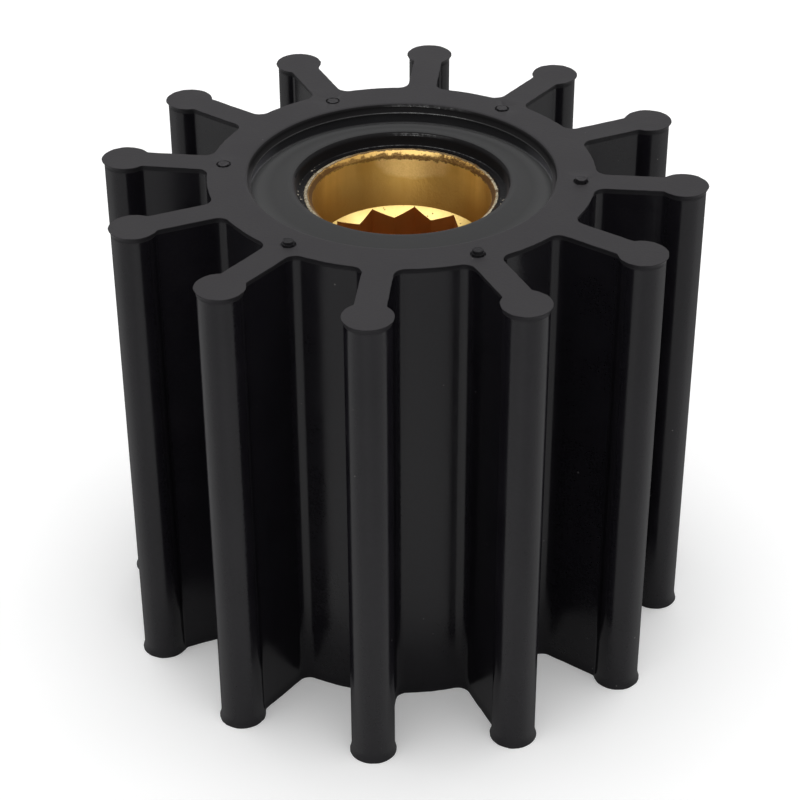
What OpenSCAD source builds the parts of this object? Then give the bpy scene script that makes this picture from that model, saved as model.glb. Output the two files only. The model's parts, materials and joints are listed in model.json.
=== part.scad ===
// Flexible-vane pump impeller: one moulded rubber body bonded round a splined brass insert.
// The origin is at the centre of the lower end face, and +Z runs along the shaft to the upper face.

/* [Body] */
// Height of the rubber body from end face to end face
body_h = 80.3; // [60:0.1:100]
// Radius of the hub between the vanes
hub_r = 30; // [28.5:0.1:32]

/* [Vanes] */
// Number of vanes, an even number
vane_count = 12; // [8:2:12]
// Diameter over the vane tips
tip_d = 94.5; // [88:0.5:104]
// Diameter of the round bead along each vane's tip
bead_d = 6.9; // [6:0.1:8]
// Thickness of a vane's web
web_t = 4; // [3:0.1:4.8]
// Radius of the fillet between a web and the hub
root_fillet_r = 2.2; // [1:0.1:2.8]
// Radius of the fillet between a web and its bead
neck_fillet_r = 1; // [0.7:0.1:1.6]

/* [Flash lips] */
// How far the sharp lip round each end face stands out
lip_out = 0.35; // [0.1:0.05:0.5]
// Height over which the sides flare out to the lip
lip_h = 1; // [0.5:0.1:3]

/* [Recess in the upper face] */
// Diameter of the recess
recess_d = 48; // [44:0.1:49]
// Depth of the recess at its outer wall
recess_depth = 3.4; // [2.8:0.1:3.6]
// Radius of the rounded edge where the outer wall meets the face
recess_edge_r = 0.5; // [0.2:0.1:0.8]
// Radius of the corner at the foot of the outer wall
recess_foot_r = 0.5; // [0.2:0.1:0.8]
// Depth of the catch, the ridge round the outer wall
catch_depth = 1.45; // [1:0.05:1.6]
// How far the catch stands in from the outer wall
catch_in = 0.5; // [0.1:0.05:0.7]
// Height of the catch's underside
catch_under = 0.3; // [0.1:0.05:0.5]
// Diameter of the collar's inner wall
collar_d = 33.5; // [33:0.1:35]
// Depth of the collar's crown below the face
collar_depth = 1.8; // [1.4:0.05:2.2]
// Radius of the collar's rounded crown
crown_r = 1; // [0.6:0.1:1.2]
// How far the collar's inner wall leans in from the crown to its foot
collar_lean = 0.25; // [0.05:0.05:0.5]

/* [Moulding pips] */
// Diameter of a pip on the upper face
pip_d = 2.3; // [1.5:0.1:3]
// Height of a pip above the face
pip_h = 0.8; // [0.4:0.1:1.2]
// Distance from the hub's edge in to the middle of a pip
pip_inset = 2; // [1.6:0.1:2.4]

/* [Brass insert] */
// Outer diameter of the insert
insert_d = 30.8; // [30:0.1:32]
// Depth of the insert's rim below the upper face
rim_depth = 3.7; // [3.7:0.1:6]
// Height of the insert's lower end above the lower face
foot_gap = 0.5; // [0.1:0.1:2]
// Diameter of the counterbore
cbore_d = 28.2; // [27.6:0.1:28.6]
// Depth of the counterbore's straight wall and corner, from the rim
cbore_depth = 9.7; // [6:0.1:20]
// Width of the chamfer at the counterbore's mouth
mouth_chamfer = 0.65; // [0.3:0.05:0.8]
// Radius of the corner between the counterbore's wall and its coned floor
corner_r = 0.8; // [0.3:0.1:1.4]
// Full angle of the counterbore's coned floor
floor_angle = 118; // [90:1:150]

/* [Spline] */
// Number of V grooves in the driving hole
spline_count = 12; // [8:1:16]
// Diameter over the roots of the V grooves
spline_root_d = 27; // [25.5:0.1:27.4]
// Diameter inside the points between the grooves
spline_tip_d = 23.4; // [21:0.1:24.4]
// Angle from a vane's axis to the nearest groove root
spline_clock = -2.5; // [-15:0.5:15]
// Depth of the 45 degree chamfer at the lower end of the driving hole
lead_chamfer = 1.8; // [0.6:0.1:3]
// How far the chamfer's mouth stands outside the groove roots
lead_margin = 0.2; // [0.1:0.05:0.5]

/* [Bond grooves] */
// Number of grooves turned round the insert for the rubber to grip
bond_count = 3; // [1:1:5]
// Width of a bond groove
bond_w = 2; // [1:0.5:4]
// Depth of a bond groove
bond_depth = 0.5; // [0.2:0.05:0.6]

/* [Hidden] */
rubber_colour = [0.2, 0.2, 0.21];
brass_colour = [0.78, 0.6, 0.28];
// Facets of the large rounds and of the small ones
$fn = 60;
small_fn = 24;
// How far a cutter runs past the face that it opens
past = 1;
// How far a fillet's round dips into the faces that it joins, so that it meets them at a clear edge
dip = 0.01;
// How much taller the flare on a fillet is than the one on a flank, so that their edges stay apart
lag = 0.03;
// How far a fillet's body reaches into the round form that it grows from
reach = 1.5;
// Steps along a rounded corner in a turned section
corner_steps = 3;

bead_r = bead_d / 2;
bead_at = tip_d / 2 - bead_r;
web_half = web_t / 2;
vane_step = 360 / vane_count;
pip_at = hub_r - pip_inset;

insert_r = insert_d / 2;
rim_z = body_h - rim_depth;
cbore_r = cbore_d / 2;
floor_z = rim_z - cbore_depth;
floor_tilt = 90 - floor_angle / 2;
root_r = spline_root_d / 2;
point_r = spline_tip_d / 2;
bond_span = floor_z - foot_gap;

// Middle of the fillet on one side of a web, where it meets the hub
function root_centre() = [
    sqrt(pow(hub_r + root_fillet_r, 2) - pow(web_half + root_fillet_r, 2)),
    web_half + root_fillet_r
];

// Middle of the fillet on one side of a web, where it meets the bead
function neck_centre() = [
    bead_at - sqrt(pow(bead_r + neck_fillet_r, 2) - pow(web_half + neck_fillet_r, 2)),
    web_half + neck_fillet_r
];

// Points of an arc round a centre, from one angle to another
function arc(centre, r, from, to, steps) = [
    for (i = [0:steps]) let (a = from + (to - from) * i / steps) centre + r * [cos(a), sin(a)]
];

// Side of a flared form: out by the lip at both end faces, and straight between the two flares
function flared_side(r, out, rise) = [
    [r + out, 0],
    [r, rise],
    [r, body_h - rise],
    [r + out, body_h]
];

// Outside of the insert from its lower end to its rim, in by the depth of each bond groove
function insert_side() = concat(
    [[insert_r, foot_gap]],
    [
        for (i = [1:bond_count])
            let (mid = foot_gap + bond_span * i / (bond_count + 1), in_r = insert_r - bond_depth)
                for (p = [
                    [insert_r, mid - bond_w / 2],
                    [in_r, mid - bond_w / 2],
                    [in_r, mid + bond_w / 2],
                    [insert_r, mid + bond_w / 2]
                ]) p
    ],
    [[insert_r, rim_z]]
);

// Round column as tall as the body, with the flash lip at both ends
module flared_post(r, fn) {
    rotate_extrude($fn = fn)
        polygon(concat([[0, 0]], flared_side(r, lip_out, lip_h), [[0, body_h]]));
}

// Round cutter for a fillet: it narrows at both ends by the lip, so the fillet flares as its web does
module flared_cutter(r) {
    side = flared_side(r + dip, -lip_out, lip_h + lag);
    ends = [[0, -past], [side[0][0], -past]];
    tops = [[side[3][0], body_h + past], [0, body_h + past]];
    rotate_extrude($fn = small_fn)
        polygon(concat(ends, side, tops));
}

// Fillet on both sides of a web, between its flank and a round form whose middle is at from_x
module fillet_pair(from_x, centre, r) {
    way = [from_x, 0] - centre;
    inner = centre + way * (r + reach) / norm(way);
    for (side = [0, 1])
        mirror([0, side, 0])
            difference() {
                linear_extrude(body_h)
                    polygon([[inner[0], 0], [centre[0], 0], centre, inner]);
                translate([centre[0], centre[1], 0])
                    flared_cutter(r);
            }
}

// Web from inside the hub to the bead, with its flanks flared at both ends. It starts midway between
// the hub's edge and the recess.
module web() {
    half = flared_side(web_half, lip_out, lip_h);
    other = [for (i = [3:-1:0]) [-half[i][0], half[i][1]]];
    start = (hub_r + recess_d / 2) / 2;
    translate([start, 0, 0])
        rotate([90, 0, 90])
            linear_extrude(bead_at - start)
                polygon(concat(half, other));
}

// One vane along +X
module vane() {
    web();
    translate([bead_at, 0, 0])
        flared_post(bead_r, small_fn);
    fillet_pair(0, root_centre(), root_fillet_r);
    fillet_pair(bead_at, neck_centre(), neck_fillet_r);
}

// Section of the collar and the recess, from the collar's foot out to the upper face's edge
function recess_side() =
    let (
        wall_r = recess_d / 2,
        collar_r = collar_d / 2,
        floor_z = body_h - recess_depth,
        catch_z = body_h - catch_depth,
        crown = [collar_r + crown_r, body_h - collar_depth - crown_r],
        foot = [wall_r - recess_foot_r, floor_z + recess_foot_r],
        edge = [wall_r + recess_edge_r, body_h - recess_edge_r],
        slope = atan((crown[1] + crown_r - floor_z) / (foot[0] - crown[0]))
    )
    concat(
        [[collar_r - collar_lean, rim_z]],
        arc(crown, crown_r, 180, 90 - slope, corner_steps),
        arc(foot, recess_foot_r, -90 - slope, 0, corner_steps),
        [
            [wall_r, catch_z - catch_under],
            [wall_r - catch_in, catch_z]
        ],
        arc(edge, recess_edge_r, 180, 90, corner_steps)
    );

// Space inside the rubber: the insert's seat, the collar above its rim and the recess round the collar
module rubber_cavity() {
    side = recess_side();
    rotate_extrude()
        polygon(concat(
            [[0, -past], [insert_r, -past]],
            insert_side(),
            side,
            [
                [side[len(side) - 1][0], body_h + past],
                [0, body_h + past]
            ]
        ));
}

// Moulding pips on the upper face, on the axis of every second vane
module pips() {
    for (i = [0:vane_count / 2 - 1])
        rotate(i * 2 * vane_step)
            translate([pip_at, 0, body_h - pip_h])
                cylinder(h = 2 * pip_h, d = pip_d, $fn = small_fn);
}

// Rubber body: hub, vanes, lips and pips moulded in one piece
module rubber_body() {
    color(rubber_colour)
        union() {
            difference() {
                union() {
                    flared_post(hub_r, $fn);
                    for (i = [0:vane_count - 1])
                        rotate(i * vane_step)
                            vane();
                }
                rubber_cavity();
            }
            pips();
        }
}

// Counterbore with its chamfered mouth, rounded corner and coned floor
module counterbore() {
    corner = [cbore_r - corner_r, floor_z + corner_r];
    foot = arc(corner, corner_r, 0, floor_tilt - 90, corner_steps);
    last = foot[corner_steps];
    mouth_r = cbore_r + mouth_chamfer;
    rotate_extrude()
        polygon(concat(
            [
                [0, rim_z + past],
                [mouth_r, rim_z + past],
                [mouth_r, rim_z],
                [cbore_r, rim_z - mouth_chamfer]
            ],
            foot,
            [[0, last[1] - last[0] * tan(floor_tilt)]]
        ));
}

// Driving hole with V grooves all round and pointed teeth between them
module spline_hole() {
    step = 180 / spline_count;
    linear_extrude(body_h)
        polygon([
            for (i = [0:2 * spline_count - 1])
                let (r = i % 2 == 0 ? root_r : point_r, a = spline_clock + i * step)
                    [r * cos(a), r * sin(a)]
        ]);
}

// Chamfer that leads the shaft into the driving hole from below
module lead_in() {
    mouth_r = root_r + lead_margin;
    translate([0, 0, foot_gap - past])
        cylinder(h = past + lead_chamfer, r1 = mouth_r + past, r2 = mouth_r - lead_chamfer);
}

// Brass insert: turned outside with bond grooves, counterbored above and splined through
module brass_insert() {
    color(brass_colour)
        difference() {
            rotate_extrude()
                polygon(concat([[0, foot_gap]], insert_side(), [[0, rim_z]]));
            counterbore();
            spline_hole();
            lead_in();
        }
}

rubber_body();
brass_insert();
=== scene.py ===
"""Looks of a flexible-vane pump impeller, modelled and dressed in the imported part's own frame.

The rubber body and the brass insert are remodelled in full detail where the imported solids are, and a plain
studio with the photograph's camera is set round them. All sizes are in metres.
"""
import json
import logging
import math
from dataclasses import dataclass, field
from enum import Enum
from typing import Callable, Iterator

import bmesh
import bpy
from mathutils import Matrix, Vector


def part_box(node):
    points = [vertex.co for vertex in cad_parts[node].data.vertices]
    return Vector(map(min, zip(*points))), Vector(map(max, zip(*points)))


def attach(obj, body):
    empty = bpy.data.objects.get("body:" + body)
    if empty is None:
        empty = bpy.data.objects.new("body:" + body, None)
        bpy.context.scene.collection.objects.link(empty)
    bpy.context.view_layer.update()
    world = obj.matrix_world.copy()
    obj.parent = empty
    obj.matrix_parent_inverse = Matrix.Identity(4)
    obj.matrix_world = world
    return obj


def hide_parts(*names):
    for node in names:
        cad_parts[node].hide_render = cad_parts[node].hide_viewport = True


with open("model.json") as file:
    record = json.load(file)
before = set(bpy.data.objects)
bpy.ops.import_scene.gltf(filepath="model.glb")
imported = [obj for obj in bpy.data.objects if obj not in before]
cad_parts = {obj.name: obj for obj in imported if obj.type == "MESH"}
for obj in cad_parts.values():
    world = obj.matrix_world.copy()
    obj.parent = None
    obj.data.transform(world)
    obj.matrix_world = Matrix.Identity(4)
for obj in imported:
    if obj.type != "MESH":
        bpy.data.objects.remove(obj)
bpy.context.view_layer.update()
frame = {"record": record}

MM = 0.001
FULL_TURN = 2 * math.pi
QUARTER_TURN = math.pi / 2

# Distances under which two heights count as one, and two vertices are merged.
CLOSE = 0.001 * MM
WELD_GAP = 0.002 * MM

# Turn of the camera to the right of the front, in degrees, and the slope of its side axis.
VIEW_TURN = 6.448
SIDE_SKEW = math.tan(math.radians(VIEW_TURN))

# What the insert's shape and its finish share: its rim's height, its bore's radius and its mouth's chamfer.
RIM_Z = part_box("brass_insert")[1][2]
BORE_R = next(m for m in frame["record"]["mounts"] if m["name"] == "counterbore")["dims"]["r_mm"] * MM
MOUTH_CHAMFER = 0.65 * MM

# Greys that a cloudy noise keeps between, and how far it moves a finish's roughness.
NOISE_SPAN = (0.3, 0.7)
ROUGH_SWING = 0.05
RUBBER_IOR = 1.45

Socket = bpy.types.NodeSocket
Colour = tuple[float, float, float]
Span = tuple[float, float]
PlaceTest = Callable[[Vector, Vector], bool]

log = logging.getLogger("impeller")


class Part(Enum):
    """What a selection in edit mode is made of. A rim is an open or loose edge."""

    VERT = "VERT"
    RIM = "EDGE"
    FACE = "FACE"


class Bench:
    """Edit-mode tools, used as by hand, with everything selected by its place."""

    @staticmethod
    def clear() -> None:
        """Leave edit mode and deselect every object."""
        if bpy.context.mode != "OBJECT":
            bpy.ops.object.mode_set(mode="OBJECT")
        bpy.ops.object.select_all(action="DESELECT")

    @staticmethod
    def take(piece: bpy.types.Object) -> None:
        """Leave edit mode, and make a piece the only one selected and the active one.

        Args:
            piece: The piece.
        """
        Bench.clear()
        piece.select_set(True)
        bpy.context.view_layer.objects.active = piece

    @staticmethod
    def open_piece(name: str) -> bpy.types.Object:
        """Add an empty mesh piece at the origin and open it for editing.

        Args:
            name: Name of the new piece.

        Returns:
            The piece, active and in edit mode.
        """
        Bench.clear()
        bpy.ops.mesh.primitive_plane_add(size=MM, location=(0, 0, 0))
        piece = bpy.context.object
        piece.name = name
        piece.data.name = name
        bpy.ops.object.mode_set(mode="EDIT")
        bpy.ops.mesh.select_mode(type="VERT")
        bpy.ops.mesh.select_all(action="SELECT")
        bpy.ops.mesh.delete(type="VERT")
        return piece

    @staticmethod
    def dot(place: Vector) -> None:
        """Put one selected vertex at a place in the open piece.

        Args:
            place: Where the vertex goes.
        """
        bpy.ops.mesh.select_all(action="DESELECT")
        bpy.ops.mesh.primitive_plane_add(size=MM, location=place)
        bpy.ops.mesh.merge(type="CENTER")

    @staticmethod
    def draw(step: Vector) -> None:
        """Draw an edge from the selected vertex.

        Args:
            step: Way from the selected vertex to the new one.
        """
        bpy.ops.mesh.extrude_vertices_move(TRANSFORM_OT_translate={"value": step})

    @staticmethod
    def draw_path(points: list[Vector]) -> None:
        """Draw a line of edges through points.

        Args:
            points: The line's points, from its first to its last.
        """
        Bench.dot(points[0])
        for start, end in zip(points, points[1:]):
            Bench.draw(end - start)

    @staticmethod
    def sweep(centre: Vector, angle: float, steps: int, copies: bool = False) -> None:
        """Turn the selection about an upright axis, leaving a swept trace or separate copies.

        With no window the spin tool turns clockwise, so the angle goes in with its sign changed.

        Args:
            centre: A point on the axis.
            angle: Anticlockwise turn seen from above, in radians.
            steps: Number of steps in the turn.
            copies: Whether to leave copies and not a trace.
        """
        bpy.ops.mesh.spin(steps=steps, angle=-angle, center=centre, axis=(0, 0, 1), dupli=copies)

    @staticmethod
    def pick(part: Part, test: PlaceTest) -> None:
        """Select what passes a test on its middle and its normal, and nothing else.

        Args:
            part: What is selected.
            test: Takes the middle and the normal of a vertex, a rim or a face. A rim's normal is zero.
        """
        bpy.ops.mesh.select_mode(type=part.value)
        bpy.ops.mesh.select_all(action="DESELECT")
        mesh = bmesh.from_edit_mesh(bpy.context.edit_object.data)
        if part is Part.VERT:
            found = [v for v in mesh.verts if test(v.co, v.normal)]
        elif part is Part.RIM:
            rims = [e for e in mesh.edges if len(e.link_faces) < 2]
            found = [e for e in rims if test((e.verts[0].co + e.verts[1].co) / 2, Vector())]
        else:
            found = [f for f in mesh.faces if test(f.calc_center_median(), f.normal)]
        for item in found:
            item.select_set(True)
        mesh.select_flush_mode()
        bmesh.update_edit_mesh(bpy.context.edit_object.data)

    @staticmethod
    def pull_profile(axis: Vector, profile: list[Vector]) -> None:
        """Extrude the selected ring along a profile, ring after ring.

        Args:
            axis: A point on the rings' upright axis.
            profile: Radius and height of each ring, the first being the selected ring's own.
        """
        for old, new in zip(profile, profile[1:]):
            bpy.ops.mesh.extrude_region_move(TRANSFORM_OT_translate={"value": (0, 0, new.y - old.y)})
            size = new.x / old.x
            bpy.ops.transform.resize(value=(size, size, 1), center_override=axis)

    @staticmethod
    def weld() -> None:
        """Merge the vertices that lie together, and turn all faces outwards."""
        bpy.ops.mesh.select_mode(type="VERT")
        bpy.ops.mesh.select_all(action="SELECT")
        bpy.ops.mesh.remove_doubles(threshold=WELD_GAP)
        bpy.ops.mesh.normals_make_consistent(inside=False)

    @staticmethod
    def group(name: str, weight: float, test: PlaceTest) -> None:
        """Put the vertices that pass a test in a vertex group, made if it isn't there.

        Args:
            name: Name of the group.
            weight: Weight of the vertices.
            test: Takes the place and the normal of a vertex.
        """
        Bench.pick(Part.VERT, test)
        piece = bpy.context.object
        if name not in piece.vertex_groups:
            bpy.ops.object.vertex_group_add()
            piece.vertex_groups.active.name = name
        piece.vertex_groups.active_index = piece.vertex_groups[name].index
        bpy.context.scene.tool_settings.vertex_group_weight = weight
        bpy.ops.object.vertex_group_assign()

    @staticmethod
    def roughen(piece: bpy.types.Object, group: str, grain: float, depth: float, ways: str = "XY") -> None:
        """Push a group's vertices to and fro by a cloudy noise, and keep the result.

        Args:
            piece: The piece, in object mode.
            group: Vertex group that moves.
            grain: Size of the noise's lumps along the first axis. They are larger along the others.
            depth: Whole width of the push.
            ways: Axes along which it pushes.
        """
        growth = 0.13
        for way in ways:
            noise = bpy.data.textures.new(f"{piece.name}_{group}_{way}", type="CLOUDS")
            noise.noise_scale = grain * (1.0 + growth * ways.index(way))
            noise.noise_depth = 1
            push = piece.modifiers.new(f"push_{way}", "DISPLACE")
            push.texture = noise
            push.texture_coords = "LOCAL"
            push.direction = way
            push.vertex_group = group
            push.strength = depth
            push.mid_level = 0.5
            bpy.ops.object.modifier_apply(modifier=push.name)

    @staticmethod
    def smooth(piece: bpy.types.Object, crease: float) -> None:
        """Shade a piece smooth up to a crease angle.

        Args:
            piece: The piece.
            crease: Angle above which an edge stays sharp, in degrees.
        """
        Bench.take(piece)
        bpy.ops.object.shade_smooth_by_angle(angle=math.radians(crease))

    @staticmethod
    def paint(piece: bpy.types.Object, finishes: dict[Enum, "Finish"], tests: dict[Enum, PlaceTest]) -> None:
        """Give a piece its materials, and its faces the ones whose tests they pass.

        Args:
            piece: The piece. Its faces have the first finish where they pass no test.
            finishes: The finish of each kind of surface.
            tests: For each kind, a test on a face's middle and normal. A later one goes over an earlier one.
        """
        for kind, finish in finishes.items():
            piece.data.materials.append(finish.make(kind.value))
        Bench.take(piece)
        bpy.ops.object.mode_set(mode="EDIT")
        for kind, test in tests.items():
            Bench.pick(Part.FACE, test)
            piece.active_material_index = list(finishes).index(kind)
            bpy.ops.object.material_slot_assign()
        Bench.clear()


def between(value: float, span: Span) -> bool:
    """Whether a value lies inside a span."""
    return span[0] < value < span[1]


def arc(centre: Vector, r: float, start: float, end: float, steps: int) -> list[Vector]:
    """Points of an arc in a plane.

    Args:
        centre: Middle of the arc, in two dimensions.
        r: Its radius.
        start: Angle of its first point, in degrees.
        end: Angle of its last point, in degrees.
        steps: Number of steps between them.

    Returns:
        The points, from first to last.
    """
    points = []
    for i in range(steps + 1):
        angle = math.radians(start + (end - start) * i / steps)
        points.append(centre + Vector((r * math.cos(angle), r * math.sin(angle))))
    return points


class Along(Enum):
    """What the painted light and shade over the rubber follow."""

    RADIUS = "radius"
    ASIDE = "aside"
    BEHIND = "behind"


class Nodes:
    """Short names for the shader nodes that the finishes and the room's light are made of."""

    def __init__(self, owner: bpy.types.Material | bpy.types.World) -> None:
        """Start an empty tree with its output.

        Args:
            owner: The material or the world that the tree shades.
        """
        self.owner = owner
        owner.use_nodes = True
        self.tree = owner.node_tree
        self.tree.nodes.clear()
        self.out = self.add("OutputWorld" if isinstance(owner, bpy.types.World) else "OutputMaterial")

    def feed(self, socket: Socket, value: object) -> None:
        """Give a socket a value, or link another socket to it.

        Args:
            socket: The socket that takes it.
            value: The value or the other socket.
        """
        if isinstance(value, Socket):
            self.tree.links.new(value, socket)
        else:
            socket.default_value = value

    def add(self, kind: str, **values: object) -> bpy.types.Node:
        """Add a node, setting properties and sockets by name.

        Args:
            kind: The node's type, without its ShaderNode start.
            values: Properties, or sockets with spaces as underscores, each a value or another socket.

        Returns:
            The node.
        """
        node = self.tree.nodes.new("ShaderNode" + kind)
        for key, value in values.items():
            if hasattr(node, key):
                setattr(node, key, value)
            else:
                self.feed(node.inputs[key.replace("_", " ")], value)
        return node

    def join(
        self, kind: str, first: bpy.types.Node, second: bpy.types.Node, **values: object
    ) -> bpy.types.Node:
        """Mix or add two shaders.

        Args:
            kind: The joining node's type.
            first: The first shader.
            second: The second shader.
            values: Properties and sockets of the joining node.

        Returns:
            The joining node.
        """
        node = self.add(kind, **values)
        sockets = [socket for socket in node.inputs if socket.type == "SHADER"]
        for socket, shader in zip(sockets, (first, second)):
            self.feed(socket, shader.outputs[0])
        return node

    def place(self) -> Socket:
        """Object coordinates, which are the part's own frame in metres."""
        return self.add("TexCoord").outputs["Object"]

    def axes(self, vector: Socket) -> bpy.types.NodeOutputs:
        """Coordinates, each on its own."""
        return self.add("SeparateXYZ", Vector=vector).outputs

    def across(self, vector: Socket) -> Socket:
        """Distance to the right of the middle along the camera's side axis, below zero at the left."""
        axes = self.axes(vector)
        return self.math("ADD", axes["X"], self.times(axes["Y"], SIDE_SKEW))

    def behind(self, vector: Socket) -> Socket:
        """Distance behind the middle, square to the side axis, below zero in front."""
        axes = self.axes(vector)
        return self.math("SUBTRACT", axes["Y"], self.times(axes["X"], SIDE_SKEW))

    def radius(self, vector: Socket) -> Socket:
        """Distance from the upright axis.

        Args:
            vector: Coordinates in metres.

        Returns:
            The distance.
        """
        axes = self.axes(vector)
        square = self.math("ADD", self.math("POWER", axes["X"], 2.0), self.math("POWER", axes["Y"], 2.0))
        return self.math("SQRT", square)

    def along(self, which: Along, vector: Socket) -> Socket:
        """Distance that painted light and shade follow.

        Args:
            which: What the painted light and shade follow.
            vector: Coordinates in metres.

        Returns:
            The distance.
        """
        if which is Along.RADIUS:
            return self.radius(vector)
        if which is Along.ASIDE:
            return self.size(self.across(vector))
        return self.behind(vector)

    def off_bearing(self, vector: Socket, bearing: float) -> Socket:
        """How far a place is turned from a bearing.

        Args:
            vector: Coordinates in metres.
            bearing: Turn from straight behind, clockwise seen from above, in radians.

        Returns:
            The angle, never below zero.
        """
        axes = self.axes(vector)
        return self.gap(self.math("ARCTAN2", axes["X"], axes["Y"]), bearing)

    def mapped(self, scale: tuple[float, float, float], vector: Socket) -> Socket:
        """Coordinates stretched along each axis.

        Args:
            scale: Stretch along X, Y and Z.
            vector: The coordinates.

        Returns:
            The stretched coordinates.
        """
        return self.add("Mapping", Vector=vector, Scale=scale).outputs["Vector"]

    def noise(self, vector: Socket, grain: float, detail: float = 3.0, rough: float = 0.55) -> Socket:
        """Cloudy noise.

        Args:
            vector: Coordinates in metres.
            grain: Size of its lumps in metres.
            detail: Number of finer layers.
            rough: Strength of the finer layers.

        Returns:
            Its grey value, about 0.3 to 0.7.
        """
        node = self.add("TexNoise", Vector=vector, Scale=1 / grain, Detail=detail, Roughness=rough)
        return node.outputs["Fac"]

    def specks(
        self, vector: Socket, cell: float, size: Span, strength: float, chosen: Socket
    ) -> Socket:
        """Scattered specks, one at most in each cell.

        Args:
            vector: Coordinates in metres.
            cell: Size of the cells in metres.
            size: Radius inside which a speck is full and radius at which it has faded, as shares of a cell.
            strength: Strength of a full speck.
            chosen: Where there are specks, from 0 to 1.

        Returns:
            Their strength.
        """
        cells = self.add("TexVoronoi", Vector=vector, Scale=1 / cell, Randomness=1.0)
        return self.times(self.fit(cells.outputs["Distance"], *size, strength, 0.0), chosen)

    def math(self, how: str, a: object, b: object = 0.0, clamp: bool = False) -> Socket:
        """One step of arithmetic.

        Args:
            how: The operation's name.
            a: First value or socket.
            b: Second value or socket.
            clamp: Whether the result is kept from 0 to 1.

        Returns:
            The result.
        """
        node = self.add("Math", operation=how, use_clamp=clamp)
        for socket, value in zip(node.inputs, (a, b)):
            self.feed(socket, value)
        return node.outputs[0]

    def times(self, first: object, *others: object) -> Socket:
        """Product of values and sockets.

        Args:
            first: The first value or socket.
            others: The other ones, multiplied in this order.

        Returns:
            The product.
        """
        product = first
        for other in others:
            product = self.math("MULTIPLY", product, other)
        return product

    def size(self, value: Socket) -> Socket:
        """A value without its sign."""
        return self.math("ABSOLUTE", value)

    def gap(self, a: object, b: object) -> Socket:
        """Distance between two values."""
        return self.size(self.math("SUBTRACT", a, b))

    def fit(
        self, value: Socket, low: float, high: float, to_low: float = 0.0, to_high: float | Socket = 1.0
    ) -> Socket:
        """A value carried from one range to another and kept inside it.

        Args:
            value: The value.
            low: Start of its range.
            high: End of its range.
            to_low: What the start becomes.
            to_high: What the end becomes.

        Returns:
            The carried value.
        """
        span = {"From_Min": low, "From_Max": high, "To_Min": to_low, "To_Max": to_high}
        return self.add("MapRange", Value=value, clamp=True, **span).outputs["Result"]

    def blend(self, share: Socket, first: object, second: object) -> Socket:
        """A mix of two colours.

        Args:
            share: How much of the second colour.
            first: A colour or a socket.
            second: A colour or a socket.

        Returns:
            The mixed colour.
        """
        node = self.add("Mix", data_type="RGBA")
        self.feed(node.inputs[0], share)
        for socket, value in zip((node.inputs[6], node.inputs[7]), (first, second)):
            self.feed(socket, value if isinstance(value, Socket) else (*value, 1.0))
        return node.outputs[2]

    def bump(self, height: Socket, depth: float, **after: Socket) -> Socket:
        """A bumped normal.

        Args:
            height: Height from 0 to 1.
            depth: Depth in metres of a height of 1.
            after: As Normal, a bumped normal to add to.

        Returns:
            The normal.
        """
        return self.add("Bump", Height=height, Distance=depth, **after).outputs["Normal"]

    def finish(self, shader: bpy.types.Node) -> bpy.types.Material | bpy.types.World:
        """Link the last shader to the output.

        Args:
            shader: The shader.

        Returns:
            The finished material or world.
        """
        self.feed(self.out.inputs["Surface"], shader.outputs[0])
        return self.owner


@dataclass(frozen=True)
class Finish:
    """A finish of one kind of surface, made into a material of its own."""

    def make(self, name: str) -> bpy.types.Material:
        """Build the material.

        Args:
            name: Its name.

        Returns:
            The material.
        """
        n = Nodes(bpy.data.materials.new(name))
        return n.finish(self.shader(n, n.place()))

    def shader(self, n: Nodes, place: Socket) -> bpy.types.Node:
        """Build the material's last shader.

        Args:
            n: The material's nodes.
            place: Object coordinates.

        Returns:
            The shader.
        """
        raise NotImplementedError


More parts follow.
